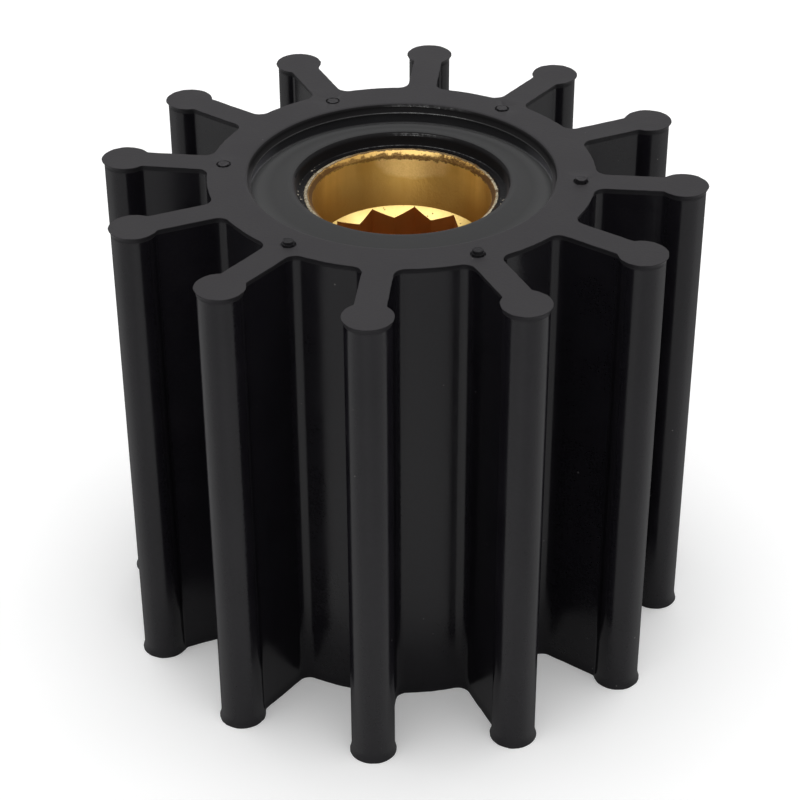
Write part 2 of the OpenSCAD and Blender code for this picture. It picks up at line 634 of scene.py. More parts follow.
@dataclass(frozen=True)
class RubberFinish(Finish):
    """Black nitrile-like rubber with a pale bloom, as one kind of surface of the moulding."""

    colour: Colour
    bloom: Colour
    bloom_share: float = 0.4
    roughness: float = 0.45
    rough_cloud: float = 9 * MM
    mottle: float = 0.35
    gloss: float = 0.05
    grain: float = 0.4 * MM
    grain_depth: float = 0.01 * MM
    calm: float = 0.0
    calm_facing: Span = (0.42, 0.80)
    speck_share: float = 0.0
    speck_cell: float = 3.1 * MM
    speck_size: Span = (0.02, 0.05)
    speck_cloud: float = 14 * MM
    speck_over: float = 0.53
    speck_colour: Colour = (0.30, 0.29, 0.28)
    crumbs: float = 0.0
    crumb_cell: float = 0.55 * MM
    crumb_size: Span = (0.22, 0.36)
    crumb_cloud: float = 1.6 * MM
    crumb_over: Span = (0.46, 0.52)
    crumb_left: Span = (-13.5 * MM, -15.3 * MM)
    crumb_right: Span = (14.5 * MM, 15.5 * MM)
    crumb_front: Span = (0.0, -2 * MM)
    crumb_colour: Colour = (0.50, 0.45, 0.36)
    shine: float = 0.0
    shine_turn: float = 0.08
    shine_half: float = 0.34
    shine_rough: float = 0.17
    # Painted light and shade: over a span along one way, the colour moves towards a multiple of the bloom.
    painted_light: float = 0.0
    painted_light_span: Span = (0.0, 0.0)
    painted_light_along: Along = Along.RADIUS

    def shader(self, n: Nodes, place: Socket) -> bpy.types.Node:
        """Build the rubber with what lies on it.

        Args:
            n: The material's nodes.
            place: Object coordinates.

        Returns:
            The shader.
        """
        cloud = n.noise(place, self.rough_cloud, 4.0, 0.6)
        fine = n.noise(place, self.grain, 2.0, 0.5)
        tint = n.blend(n.fit(cloud, 0.35, 0.68, 0.0, self.bloom_share), self.colour, self.bloom)
        tint = n.blend(n.fit(fine, *NOISE_SPAN, 0.0, self.mottle), tint, self.bloom)
        if self.speck_share > 0:
            chosen = n.math("GREATER_THAN", n.noise(place, self.speck_cloud, 1.0), self.speck_over)
            specks = n.specks(place, self.speck_cell, self.speck_size, self.speck_share, chosen)
            tint = n.blend(specks, tint, self.speck_colour)
        # Painted light and shade: the colour moves towards a multiple of the bloom over a span along one way.
        if self.painted_light > 0:
            share = n.fit(n.along(self.painted_light_along, place), *self.painted_light_span)
            tint = n.blend(share, tint, tuple(self.painted_light * c for c in self.bloom))
        if self.crumbs > 0:
            tint = n.blend(self.scatter(n, place), tint, self.crumb_colour)
        rough = n.fit(cloud, *NOISE_SPAN, self.roughness - ROUGH_SWING, self.roughness + ROUGH_SWING)
        shader = self.gum(n, tint, rough, n.bump(fine, self.grain_depth), self.gloss)
        if self.shine > 0:
            shader = self.polish(n, place, shader, tint)
        if self.calm > 0:
            shader = self.damp(n, shader, tint)
        return shader

    def gum(self, n: Nodes, tint: Socket, rough: object, normal: Socket, gloss: float) -> bpy.types.Node:
        """Plain rubber.

        Args:
            n: The material's nodes.
            tint: Its colour.
            rough: Its roughness.
            normal: Its bumped normal.
            gloss: Level of its gloss.

        Returns:
            The shader.
        """
        node = n.add("BsdfPrincipled", Base_Color=tint, Roughness=rough, Normal=normal)
        node.inputs["IOR"].default_value = RUBBER_IOR
        node.inputs["Specular IOR Level"].default_value = gloss
        return node

    def damp(self, n: Nodes, base: bpy.types.Node, tint: Socket) -> bpy.types.Node:
        """Take gloss off where the rubber turns away, as its fine bloom does.

        Args:
            n: The material's nodes.
            base: Shader of the glossy rubber.
            tint: The rubber's colour.

        Returns:
            The damped shader.
        """
        facing = n.add("LayerWeight", Blend=0.5).outputs["Facing"]
        share = n.fit(facing, *self.calm_facing, 0.0, self.calm)
        return n.join("MixShader", base, n.add("BsdfDiffuse", Color=tint), Fac=share)

    def scatter(self, n: Nodes, place: Socket) -> Socket:
        """Pale crumbs of residue at the left of the ledge, with a few at its right.

        Args:
            n: The material's nodes.
            place: Object coordinates.

        Returns:
            Strength of the crumbs, from 0 to 1.
        """
        axes = n.axes(place)
        chosen = n.fit(n.noise(place, self.crumb_cloud, 1.0), *self.crumb_over)
        crumbs = n.specks(place, self.crumb_cell, self.crumb_size, self.crumbs, chosen)
        left = n.fit(axes["X"], *self.crumb_left)
        right = n.times(n.fit(axes["X"], *self.crumb_right), n.fit(axes["Y"], *self.crumb_front))
        return n.times(crumbs, n.math("MAXIMUM", left, right))

    def polish(self, n: Nodes, place: Socket, base: bpy.types.Node, tint: Socket) -> bpy.types.Node:
        """Lay a broken shine over the rubber behind the bore, fading out to both sides.

        Args:
            n: The material's nodes.
            place: Object coordinates.
            base: Shader of the rubber under it.
            tint: The rubber's colour.

        Returns:
            The two together.
        """
        turn = n.off_bearing(place, self.shine_turn)
        across = n.fit(turn, 0.55 * self.shine_half, self.shine_half, 1.0, 0.0)
        broken = n.fit(n.noise(n.mapped((1.0, 1.0, 0.3), place), 0.7 * MM, 2.0, 0.6), 0.40, 0.60, 0.25, 1.0)
        normal = n.bump(n.noise(place, 0.35 * MM, 2.0, 0.6), 0.03 * MM)
        gloss = self.gum(n, tint, self.shine_rough, normal, self.shine)
        return n.join("MixShader", base, gloss, Fac=n.times(across, broken))


class Surface(Enum):
    """The kinds of surface on the moulding."""

    MOULDED = "moulded_rubber"
    GROUND = "ground_rubber"
    FLOOR = "recess_floor_rubber"
    WALL = "recess_wall_rubber"
    UNDER = "undercut_rubber"
    LEDGE = "ledge_rubber"
    EDGE = "polished_rubber"
    NOSE = "catch_rubber"
    FLARE = "flash_rubber"
    PIP = "pip_rubber"


RUBBER = {
    Surface.MOULDED: RubberFinish(
        colour=(0.0066, 0.0060, 0.0078), bloom=(0.013, 0.012, 0.015), roughness=0.21, gloss=0.255,
        grain=0.5 * MM, grain_depth=0.008 * MM, speck_share=0.5, calm=0.72,
    ),
    Surface.GROUND: RubberFinish(
        colour=(0.021, 0.0196, 0.0215), bloom=(0.029, 0.0273, 0.0300), bloom_share=0.5, roughness=0.6,
        gloss=0.19, grain=0.35 * MM, grain_depth=0.02 * MM, speck_share=0.25,
    ),
    # Painted light: the recess floor lightens towards its outer wall, against the wall's shade.
    Surface.FLOOR: RubberFinish(
        colour=(0.041, 0.0412, 0.0418), bloom=(0.048, 0.0482, 0.0488), bloom_share=0.5, roughness=0.65,
        gloss=0.10, grain=0.45 * MM, painted_light=1.65, painted_light_span=(20.5 * MM, 23.5 * MM),
    ),
    # Painted light: the recess walls and the collar lighten from behind towards the sides and the front.
    Surface.WALL: RubberFinish(
        colour=(0.0085, 0.0080, 0.0085), bloom=(0.012, 0.0115, 0.012), grain=0.35 * MM,
        painted_light=4.0, painted_light_span=(4.5 * MM, -1.0 * MM), painted_light_along=Along.BEHIND,
    ),
    # Painted light: the wall under the catch is lighter than the wall above it, against the catch's shade,
    # and lighter still towards the sides.
    Surface.UNDER: RubberFinish(
        colour=(0.022, 0.0215, 0.0235), bloom=(0.027, 0.0265, 0.029), roughness=0.4, gloss=0.3,
        grain=0.45 * MM, grain_depth=0.02 * MM,
        painted_light=4.2, painted_light_span=(20.0 * MM, 23.4 * MM), painted_light_along=Along.ASIDE,
    ),
    Surface.LEDGE: RubberFinish(
        colour=(0.0050, 0.0045, 0.0050), bloom=(0.008, 0.0075, 0.008), bloom_share=0.5, roughness=0.35,
        gloss=0.06, grain=0.5 * MM, grain_depth=0.06 * MM, crumbs=0.9, shine=0.6, shine_half=0.95,
    ),
    Surface.EDGE: RubberFinish(
        colour=(0.0095, 0.0090, 0.0095), bloom=(0.013, 0.0125, 0.013), shine=0.55,
    ),
    # Painted highlight: the catch's nose is lighter than the walls round it, and painted shade darkens it
    # towards the sides.
    Surface.NOSE: RubberFinish(
        colour=(0.020, 0.0195, 0.020), bloom=(0.027, 0.0263, 0.027), roughness=0.3, gloss=0.35,
        grain_depth=0.03 * MM, painted_light=0.35, painted_light_span=(17.0 * MM, 20.5 * MM), painted_light_along=Along.ASIDE,
        shine=1.0, shine_half=0.42,
    ),
    Surface.FLARE: RubberFinish(
        colour=(0.017, 0.0162, 0.0180), bloom=(0.024, 0.0230, 0.0258), roughness=0.5, gloss=0.10,
        grain=0.5 * MM, grain_depth=0.02 * MM,
    ),
    # Partly painted shade: pip walls and dimples are dark moulded rubber, and the heads of the two tallest
    # pips take it too as painted shade.
    Surface.PIP: RubberFinish(
        colour=(0.0075, 0.0070, 0.0080), bloom=(0.021, 0.0200, 0.0225), bloom_share=0.5, roughness=0.5,
        gloss=0.12, grain=0.3 * MM, grain_depth=0.08 * MM,
    ),
}


class Cut(Enum):
    """The kinds of surface on the insert."""

    BORE = "turned_brass"
    FLOOR = "drilled_brass"
    SPLINE = "broached_brass"


@dataclass(frozen=True)
class BrassFinish(Finish):
    """Turned, drilled or broached brass."""

    colour: Colour
    pale: Colour
    roughness: float
    spread: float = 0.0
    spread_turn: float = 0.25
    ring_depth: float = 0.006 * MM
    chips: float = 0.0
    chip_cell: float = 0.7 * MM
    chip_size: Span = (0.14, 0.26)
    chip_cloud: float = 2.0 * MM
    chip_over: Span = (0.54, 0.57)
    chip_colour: Colour = (0.06, 0.03, 0.012)

    def shader(self, n: Nodes, place: Socket) -> bpy.types.Node:
        """Build the brass, with chips lying on it where it has them.

        Args:
            n: The material's nodes.
            place: Object coordinates.

        Returns:
            The shader.
        """
        tint = n.blend(self.streaks(n, place), self.colour, self.pale)
        if self.chips > 0:
            chosen = n.fit(n.noise(place, self.chip_cloud, 1.0), *self.chip_over)
            chips = n.specks(place, self.chip_cell, self.chip_size, self.chips, chosen)
            tint = n.blend(chips, tint, self.chip_colour)
        return self.metal(n, place, tint)

    def streaks(self, n: Nodes, place: Socket) -> Socket:
        """Soft upright streaks and clouds.

        Args:
            n: The material's nodes.
            place: Object coordinates.

        Returns:
            Their strength, from 0 to 1.
        """
        cloud = n.noise(place, 7 * MM)
        bands = n.noise(n.mapped((1.0, 1.0, 0.06), place), 3.5 * MM)
        return n.fit(n.math("ADD", n.times(cloud, 0.4), n.times(bands, 0.6)), 0.42, 0.58)

    def metal(self, n: Nodes, place: Socket, tint: Socket, dull: Socket | None = None) -> bpy.types.Node:
        """Build the metal with fine turning marks.

        Args:
            n: The material's nodes.
            place: Object coordinates.
            tint: The metal's colour.
            dull: Where the metal is stained and rough, from 0 to 1.

        Returns:
            The shader.
        """
        fine = n.noise(n.mapped((0.04, 0.04, 1.0), place), 0.16 * MM, 2.0, 0.7)
        coarse = n.noise(n.mapped((0.02, 0.02, 1.0), place), 0.9 * MM, 2.0, 0.6)
        normal = n.bump(n.math("ADD", n.times(fine, 0.7), n.times(coarse, 0.3)), self.ring_depth)
        low, high = self.roughness - ROUGH_SWING, self.roughness + ROUGH_SWING
        rough = n.fit(n.noise(place, 6 * MM), *NOISE_SPAN, low, high)
        if dull is not None:
            rough = n.math("ADD", rough, n.times(dull, 0.2), clamp=True)
            normal = n.bump(n.noise(place, 0.5 * MM), 0.05 * MM, Normal=normal)
        shader = n.add("BsdfPrincipled", Base_Color=tint, Roughness=rough, Normal=normal, Metallic=1.0)
        if self.spread > 0:
            round_axis = n.add("Tangent", direction_type="RADIAL", axis="Z")
            n.feed(shader.inputs["Tangent"], round_axis.outputs["Tangent"])
            shader.inputs["Anisotropic"].default_value = self.spread
            shader.inputs["Anisotropic Rotation"].default_value = self.spread_turn
        return shader


@dataclass(frozen=True)
class BoreFinish(BrassFinish):
    """The turned bore and its rim: a dusty flat, a golden chamfer with painted shade at its sides, a ragged
    stain, painted shade deep down and at the sides of the bore, and a painted highlight at its back.
    """

    rim_wobble: float = 0.10 * MM
    flat: Colour = (0.155, 0.11, 0.06)
    dust: Colour = (0.62, 0.55, 0.40)
    dust_left: Span = (-9 * MM, -14 * MM)
    dust_right: Span = (11 * MM, 14 * MM)
    gold: Colour = (0.82, 0.56, 0.20)
    # Painted shade: a darker, browner gold that the chamfer takes towards its left and right.
    shaded_chamfer_gold: Colour = (0.50, 0.30, 0.085)
    chamfer_shade_aside: Span = (3 * MM, 8.5 * MM)
    grit_right: Span = (3 * MM, 6 * MM)
    grit_behind: Span = (2 * MM, 5 * MM)
    line_out: float = 0.06 * MM
    line_half: Span = (0.03 * MM, 0.09 * MM)
    line_left: Span = (-2 * MM, -6 * MM)
    inner_aside: Span = (5 * MM, 13 * MM)
    inner_in: Span = (1 * MM, 0.1 * MM)
    stain: Colour = (0.13, 0.062, 0.019)
    stain_ragged: float = 0.35 * MM
    stain_left: Span = (-4 * MM, -9 * MM)
    stain_aside: Span = (4 * MM, 12.5 * MM)
    stain_depth: Span = (0.92 * MM, 0.5 * MM)
    stain_half: Span = (0.42 * MM, 0.30 * MM)
    film: Colour = (0.010, 0.009, 0.009)
    film_right: Span = (2 * MM, 11 * MM)
    film_out: Span = (0.75 * MM, 0.3 * MM)
    # Painted highlight: a pale gold laid as a U at the back of the bore.
    highlight_gold: Colour = (1.0, 0.74, 0.33)
    # Painted shade: a darker brass laid deep down the bore and at its left and right sides.
    bore_shade: Colour = (0.40, 0.225, 0.052)
    bore_shade_aside: Span = (12.2 * MM, 14.0 * MM)
    patch_depth: float = 4.9 * MM
    patch_half: float = 0.46
    patch_turn: float = 0.02
    patch_share: float = 0.5

    def shader(self, n: Nodes, place: Socket) -> bpy.types.Node:
        """Build the bore's wall, its painted highlight, its rim and the stain between them.

        Args:
            n: The material's nodes.
            place: Object coordinates.

        Returns:
            The shader.
        """
        axes = n.axes(place)
        depth = n.math("SUBTRACT", RIM_Z, axes["Z"])
        aside = n.size(n.across(place))
        tint = n.blend(self.streaks(n, place), self.colour, self.pale)
        # Painted shade: darker deeper down the bore and towards its left and right sides.
        tint = n.blend(n.fit(depth, 0.6 * self.patch_depth, 2.0 * self.patch_depth), tint, self.bore_shade)
        tint = n.blend(n.fit(aside, *self.bore_shade_aside, 0.0, 0.85), tint, self.bore_shade)
        # Painted highlight: a bright U on the back wall of the bore.
        tint = n.blend(self.patch(n, place, depth), tint, self.highlight_gold)
        on_rim = n.fit(depth, MOUTH_CHAMFER + 0.02 * MM, MOUTH_CHAMFER + 0.08 * MM, 1.0, 0.0)
        tint = n.blend(on_rim, tint, self.rim(n, place, axes))
        ragged = n.fit(n.noise(place, 1.0 * MM, 4.0, 0.7), *NOISE_SPAN, -self.stain_ragged, self.stain_ragged)
        away = n.gap(n.math("ADD", depth, ragged), n.fit(aside, *self.stain_aside, *self.stain_depth))
        past = n.math("SUBTRACT", away, n.fit(aside, *self.stain_aside, *self.stain_half))
        dull = n.fit(past, -0.05 * MM, 0.12 * MM, 0.9, 0.0)
        dull = n.times(dull, n.fit(axes["X"], *self.stain_left, 1.0, 0.75))
        tint = n.blend(n.times(dull, self.speckle(n, place, 0.75)), tint, self.stain)
        return self.metal(n, place, tint, dull)

    def speckle(self, n: Nodes, place: Socket, least: float) -> Socket:
        """Fine grit.

        Args:
            n: The material's nodes.
            place: Object coordinates.
            least: Value between the grains.

        Returns:
            A value from least to 1.
        """
        return n.fit(n.noise(place, 0.28 * MM, 2.0, 0.6), 0.42, 0.58, least, 1.0)

    def patch(self, n: Nodes, place: Socket, depth: Socket) -> Socket:
        """A painted highlight at the back of the bore: a bright U with a gritty grain.

        Args:
            n: The material's nodes.
            place: Object coordinates.
            depth: Depth below the rim.

        Returns:
            Strength of the painted highlight, from 0 to 1.
        """
        turn = n.off_bearing(place, self.patch_turn)
        across = n.math("POWER", n.math("DIVIDE", turn, self.patch_half), 2.2)
        down = n.math("POWER", n.math("DIVIDE", n.math("MAXIMUM", depth, 0.0), self.patch_depth), 3.0)
        wobble = n.fit(n.noise(place, 2.2 * MM, 2.0), *NOISE_SPAN, -0.12, 0.12)
        inside = n.fit(n.math("ADD", n.math("ADD", across, down), wobble), 0.7, 1.05, 1.0, 0.0)
        return n.times(inside, self.speckle(n, place, 0.65), self.patch_share)

    def rim(self, n: Nodes, place: Socket, axes: bpy.types.NodeOutputs) -> Socket:
        """Colours of the rim: a dusty flat, a brown line, a golden chamfer with painted shade at its sides,
        and a black film outside.

        Args:
            n: The material's nodes.
            place: Object coordinates.
            axes: Object coordinates, each on its own.

        Returns:
            The colour.
        """
        x = axes["X"]
        mouth_r = BORE_R + MOUTH_CHAMFER
        wobble = n.fit(n.noise(place, 0.9 * MM, 4.0, 0.65), *NOISE_SPAN, -self.rim_wobble, self.rim_wobble)
        radius = n.math("ADD", n.radius(place), wobble)
        at_left = n.times(n.fit(x, *self.dust_left), self.speckle(n, place, 0.35))
        flat = n.blend(at_left, self.flat, self.dust)
        # Painted shade: the chamfer turns from gold to a darker gold towards its sides.
        gold = n.blend(n.fit(n.size(x), *self.chamfer_shade_aside), self.gold, self.shaded_chamfer_gold)
        gritty = n.fit(n.noise(place, 0.32 * MM, 2.0, 0.6), 0.47, 0.53, 0.0, 0.8)
        at_back_right = n.times(n.fit(x, *self.grit_right), n.fit(axes["Y"], *self.grit_behind))
        gold = n.blend(n.times(gritty, at_back_right), gold, self.stain)
        tint = n.blend(n.fit(radius, mouth_r - 0.02 * MM, mouth_r + 0.04 * MM), gold, flat)
        line = n.fit(n.gap(radius, mouth_r + self.line_out), *self.line_half, 1.0, 0.0)
        tint = n.blend(n.times(line, n.fit(x, *self.line_left, 0.0, 0.8)), tint, self.stain)
        inner_r = n.fit(n.size(x), *self.inner_aside, BORE_R - self.inner_in[0], mouth_r - self.inner_in[1])
        inside = n.fit(n.math("SUBTRACT", inner_r, radius), -0.05 * MM, 0.05 * MM, 0.0, 0.85)
        tint = n.blend(inside, tint, self.stain)
        on_flat = n.fit(n.math("SUBTRACT", radius, mouth_r), -0.1 * MM, 0.0)
        at_right = n.times(n.fit(x, *self.dust_right), self.speckle(n, place, 0.5), on_flat)
        tint = n.blend(at_right, tint, self.dust)
        film_r = n.fit(x, *self.film_right, *(mouth_r + out for out in self.film_out))
        return n.blend(n.fit(n.math("SUBTRACT", radius, film_r), 0.0, 0.05 * MM), tint, self.film)


BRASS = {
    Cut.BORE: BoreFinish(colour=(0.67, 0.415, 0.10), pale=(0.76, 0.50, 0.14), roughness=0.52, spread=0.8),
    # Painted light: the coned floor is a paler brass than the bore, though it is the same metal.
    Cut.FLOOR: BrassFinish(
        colour=(0.68, 0.50, 0.175), pale=(0.75, 0.56, 0.21), roughness=0.32, ring_depth=0.003 * MM, chips=0.85
    ),
    # Painted shade: the driving hole is a deeper, darker brass than the bore, though it is the same metal.
    Cut.SPLINE: BrassFinish(colour=(0.60, 0.285, 0.078), pale=(0.64, 0.31, 0.09), roughness=0.55),
}


@dataclass(frozen=True)
class FloorFinish(Finish):
    """White studio floor that keeps the object's shadow and still looks white to the camera.

    Gloss sees painted shade on it behind, beside and close round the object, as the photograph shows.
    """

    shade: float = 0.78
    seen_shade: float = 1.0
    glow: float = 0.15
    # Painted shade that gloss alone sees: the floor dims behind, beside and close round the object.
    back_shade: float = 0.62
    back_span: Span = (0.0, 100 * MM)
    side_shade: float = 0.84
    side_span: Span = (10 * MM, 60 * MM)
    gap_shade: float = 0.68
    gap_span: Span = (38 * MM, 50 * MM)
    far_span: Span = (0.35, 1.1)

    def shader(self, n: Nodes, place: Socket) -> bpy.types.Node:
        """Build the floor's paper with its glow.

        Args:
            n: The material's nodes.
            place: Object coordinates.

        Returns:
            The shader.
        """
        path = n.add("LightPath").outputs
        axes = n.axes(place)
        radius = n.radius(place)
        # Painted shade, seen only in gloss: the floor dims behind the object, beside it and close round it.
        painted_shade = n.times(
            n.fit(axes["Y"], *self.back_span, 1.0, self.back_shade),
            n.fit(n.size(axes["X"]), *self.side_span, 1.0, self.side_shade),
            n.fit(radius, *self.gap_span, self.gap_shade, 1.0),
        )
        gloss = n.times(n.math("MAXIMUM", path["Is Glossy Ray"], path["Is Transmission Ray"]), painted_shade)
        seen = n.math("MAXIMUM", path["Is Camera Ray"], gloss)
        direct = n.math("MAXIMUM", path["Is Camera Ray"], path["Is Glossy Ray"])
        bounce = n.times(n.math("SUBTRACT", 1.0, direct), self.shade)
        paper = n.add("BsdfDiffuse", Color=n.math("MAXIMUM", bounce, n.times(seen, self.seen_shade)))
        far = n.times(n.fit(radius, *self.far_span), path["Is Camera Ray"])
        glow = n.math("ADD", n.times(seen, self.glow), far)
        return n.join("AddShader", paper, n.add("Emission", Color=(1.0, 1.0, 1.0, 1.0), Strength=glow))


@dataclass
class RubberBody:
    """The moulding: hub, twelve vanes with beads, flash lips, recess, collar and moulding pips."""

    node: str = "rubber_body"
    pip_h: float = 0.8 * MM
    hub_r: float = 30 * MM
    vane_count: int = 12
    bead_r: float = 3.45 * MM
    web_half: float = 2 * MM
    root_fillet_r: float = 2.2 * MM
    neck_fillet_r: float = 1 * MM
    lip_out: float = 0.35 * MM
    lip_h: float = 1 * MM
    foot_out: float = 0.3 * MM
    foot_h: float = 1.7 * MM
    edge_r: float = 0.05 * MM
    rim_border: float = 0.5 * MM
    row_gap: float = 3.6 * MM
    seat_r: float = 15.4 * MM
    rim_depth: float = 3.7 * MM
    collar_r: float = 16.65 * MM
    collar_lean: float = 0.25 * MM
    collar_depth: float = 1.5 * MM
    crown_r: float = 1.0 * MM
    recess_r: float = 24 * MM
    recess_depth: float = 3.4 * MM
    recess_edge_r: float = 0.62 * MM
    recess_foot_r: float = 0.25 * MM
    catch_depth: float = 1.45 * MM
    catch_in: float = 0.5 * MM
    catch_under: float = 0.3 * MM
    catch_nose_r: float = 0.14 * MM
    seat_round_r: float = 0.2 * MM
    seat_chamfer: float = 0.12 * MM
    ring_steps: int = 240
    bead_steps: int = 20
    neck_steps: int = 5
    flank_steps: int = 9
    root_steps: int = 7
    hub_steps: int = 6
    flare_steps: int = 5
    pip_at: float = 28 * MM
    pip_r: float = 0.92 * MM
    pip_gap: float = 0.28 * MM
    pip_steps: int = 32
    pip_tops: tuple[float, ...] = (0.62 * MM, 0.16 * MM, 0.06 * MM, 0.15 * MM, 0.66 * MM, 0.80 * MM)
    pip_tiers: tuple[int, ...] = (1, 1, 1, 1, 2, 2)
    pip_dimple: float = 0.26 * MM
    pip_border: float = 0.1 * MM
    pip_soft: float = 0.14 * MM
    pip_hollow: float = 0.02 * MM
    pip_ragged_h: float = 0.62 * MM
    pip_ledge: float = 0.08 * MM
    pip_shift: Span = (-0.1 * MM, -0.36 * MM)
    vane_set: tuple[float, ...] = (0.35, 0.75, 0.35, 0.15, 0.0, -0.65, -0.55, -0.15, -0.45, 0.15, 0.0, 0.0)
    bend_reach: float = 8 * MM
    ragged_h: float = 0.4 * MM

    # Upward parts of the normals, and reaches, that tell one surface from the next.
    end_drop: float = 0.2 * MM
    end_slopes: Span = (0.3, 0.8)
    flare_slope: float = 0.75
    edge_slopes: Span = (0.15, 0.72)
    crown_slopes: Span = (0.35, 0.72)
    floor_slope: float = 0.85
    pip_slope: float = 0.6
    nose_reach: Span = (0.3 * MM, 0.2 * MM)

    height: float = field(init=False)
    tip_r: float = field(init=False)

    def __post_init__(self) -> None:
        """Take the height and the radius over the tips from the frame."""
        low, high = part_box(self.node)
        self.height = high[2] - low[2] - self.pip_h
        self.tip_r = high[0] - self.lip_out

    @property
    def bead_at(self) -> float:
        """Distance from the axis to the middle of a bead."""
        return self.tip_r - self.bead_r

    def rows(self) -> list[tuple[float, float]]:
        """Heights of the rows of vertices up the side, each with how far the outline stands out there.

        Returns:
            Pairs of height and stand-out, from the lower face's border to the upper face's.
        """
        low = self.flare(self.foot_out, self.foot_h)
        high = [(self.height - z, out) for z, out in reversed(self.flare(self.lip_out, self.lip_h))]
        span = self.height - self.foot_h - self.lip_h
        gaps = round(span / self.row_gap)
        middle = [(self.foot_h + span * i / gaps, 0.0) for i in range(1, gaps)]
        return low + middle + high

    def flare(self, out: float, reach: float) -> list[tuple[float, float]]:
        """Rows of a flash lip, from the end face's border to where the lip runs out.

        Args:
            out: How far the lip stands out.
            reach: How far along the side it reaches.

        Returns:
            Pairs of distance from the end face and stand-out.
        """
        rows = [(0.0, out - self.edge_r - self.rim_border), (0.0, out - self.edge_r)]
        for i in range(self.flare_steps + 1):
            share = i / self.flare_steps
            rows.append((self.edge_r + (reach - self.edge_r) * share, out * (1 - share) ** 2))
        return rows

    def trace_half_vane(self, z: float, out: float) -> None:
        """Draw one side of a vane's outline from its tip to midway along the hub, at one height.

        Args:
            z: Height.
            out: How far the outline stands out from the moulded size.
        """
        bead = Vector((self.bead_at, 0, z))
        neck_y = self.web_half + self.neck_fillet_r
        neck_x = self.bead_at - math.sqrt((self.bead_r + self.neck_fillet_r) ** 2 - neck_y**2)
        neck = Vector((neck_x, neck_y, z))
        root_y = self.web_half + self.root_fillet_r
        root_x = math.sqrt((self.hub_r + self.root_fillet_r) ** 2 - root_y**2)
        root = Vector((root_x, root_y, z))
        bead_turn = math.atan2(neck_y, neck_x - self.bead_at)
        root_turn = math.atan2(root_y, root_x)
        Bench.dot(Vector((self.tip_r + out, 0, z)))
        Bench.sweep(bead, bead_turn, self.bead_steps)
        Bench.sweep(neck, QUARTER_TURN - bead_turn, self.neck_steps)
        for _ in range(self.flank_steps):
            Bench.draw(Vector(((root_x - neck_x) / self.flank_steps, 0, 0)))
        Bench.sweep(root, root_turn - QUARTER_TURN, self.root_steps)
        Bench.sweep(Vector((0, 0, z)), math.pi / self.vane_count - root_turn, self.hub_steps)

    def build_side(self, piece: bpy.types.Object) -> None:
        """Trace half a vane at every row, bridge the rows, mirror them and copy them round.

        Args:
            piece: The open piece.
        """
        for z, out in self.rows():
            self.trace_half_vane(z, out)
        bpy.ops.mesh.select_mode(type="EDGE")
        bpy.ops.mesh.select_all(action="SELECT")
        bpy.ops.mesh.bridge_edge_loops()
        bpy.ops.object.mode_set(mode="OBJECT")
        mirror = piece.modifiers.new("other_side", "MIRROR")
        mirror.use_axis = (False, True, False)
        mirror.merge_threshold = WELD_GAP
        bpy.ops.object.modifier_apply(modifier=mirror.name)
        bpy.ops.object.mode_set(mode="EDIT")
        bpy.ops.mesh.select_all(action="SELECT")
        step = FULL_TURN / self.vane_count
        Bench.sweep(Vector(), FULL_TURN - step, self.vane_count - 1, copies=True)
        Bench.weld()

    def profile_recess(self) -> list[Vector]:
        """Section of the recess, the collar and the insert's seat.

        Returns:
            Radius and height of each point, from the upper face's edge to the lower face.
        """
        top = self.height
        nose, seat, corner = self.catch_nose_r, self.seat_round_r, self.seat_chamfer
        seat_z = top - self.rim_depth
        crown = Vector((self.collar_r + self.crown_r, top - self.collar_depth - self.crown_r))
        foot = Vector((self.recess_r - self.recess_foot_r, top - self.recess_depth + self.recess_foot_r))
        edge = Vector((self.recess_r + self.recess_edge_r, top - self.recess_edge_r))
        catch = Vector((self.recess_r - self.catch_in + nose, top - self.catch_depth))
        rise = crown.y + self.crown_r - (foot.y - self.recess_foot_r)
        slope = math.degrees(math.atan2(rise, foot.x - crown.x))
        points = [Vector((edge.x + self.rim_border, top))]
        points += arc(edge, self.recess_edge_r, 90, 180, 12)
        points += arc(catch, nose, 110, 260, 6)
        points.append(Vector((self.recess_r, catch.y - self.catch_under)))
        points += arc(foot, self.recess_foot_r, 0, -90 - slope, 6)
        points += arc(crown, self.crown_r, 90 - slope, 180, 9)
        points += arc(Vector((self.collar_r - self.collar_lean - seat, seat_z + seat)), seat, 0, -90, 3)
        points += [Vector((self.seat_r, z)) for z in (seat_z, corner)]
        return points + [Vector((self.seat_r + corner, 0.0))]

    def build_upper_face(self) -> None:
        """Fill the upper face round the recess and the pips, and sink the recess."""
        top = self.height
        profile = self.profile_recess()
        bpy.ops.mesh.select_all(action="DESELECT")
        bpy.ops.mesh.primitive_circle_add(vertices=self.ring_steps, radius=profile[0].x, location=(0, 0, top))
        foot_r = self.pip_profile(self.pip_h)[0].x
        for place in self.pip_places():
            bpy.ops.mesh.primitive_circle_add(vertices=self.pip_steps, radius=foot_r, location=place)
        Bench.pick(Part.RIM, lambda middle, _: middle.z > top - CLOSE)
        bpy.ops.mesh.fill(use_beauty=True)
        mouth_r = profile[0].x + 0.1 * MM
        Bench.pick(Part.RIM, lambda middle, _: middle.z > top - CLOSE and middle.xy.length < mouth_r)
        Bench.pull_profile(Vector((0, 0, top)), profile)

    def build_lower_face(self) -> None:
        """Fill the lower face between the outline and the insert's seat."""
        Bench.pick(Part.RIM, lambda middle, _: middle.z < CLOSE)
        bpy.ops.mesh.fill(use_beauty=True)

    def pip_places(self) -> Iterator[Vector]:
        """Middles of the pips on the upper face, on every second vane's axis.

        Yields:
            Each pip's place.
        """
        x, y = self.pip_shift
        count = self.vane_count // 2
        for i in range(count):
            angle = FULL_TURN * i / count
            yield Vector((x + self.pip_at * math.cos(angle), y + self.pip_at * math.sin(angle), self.height))

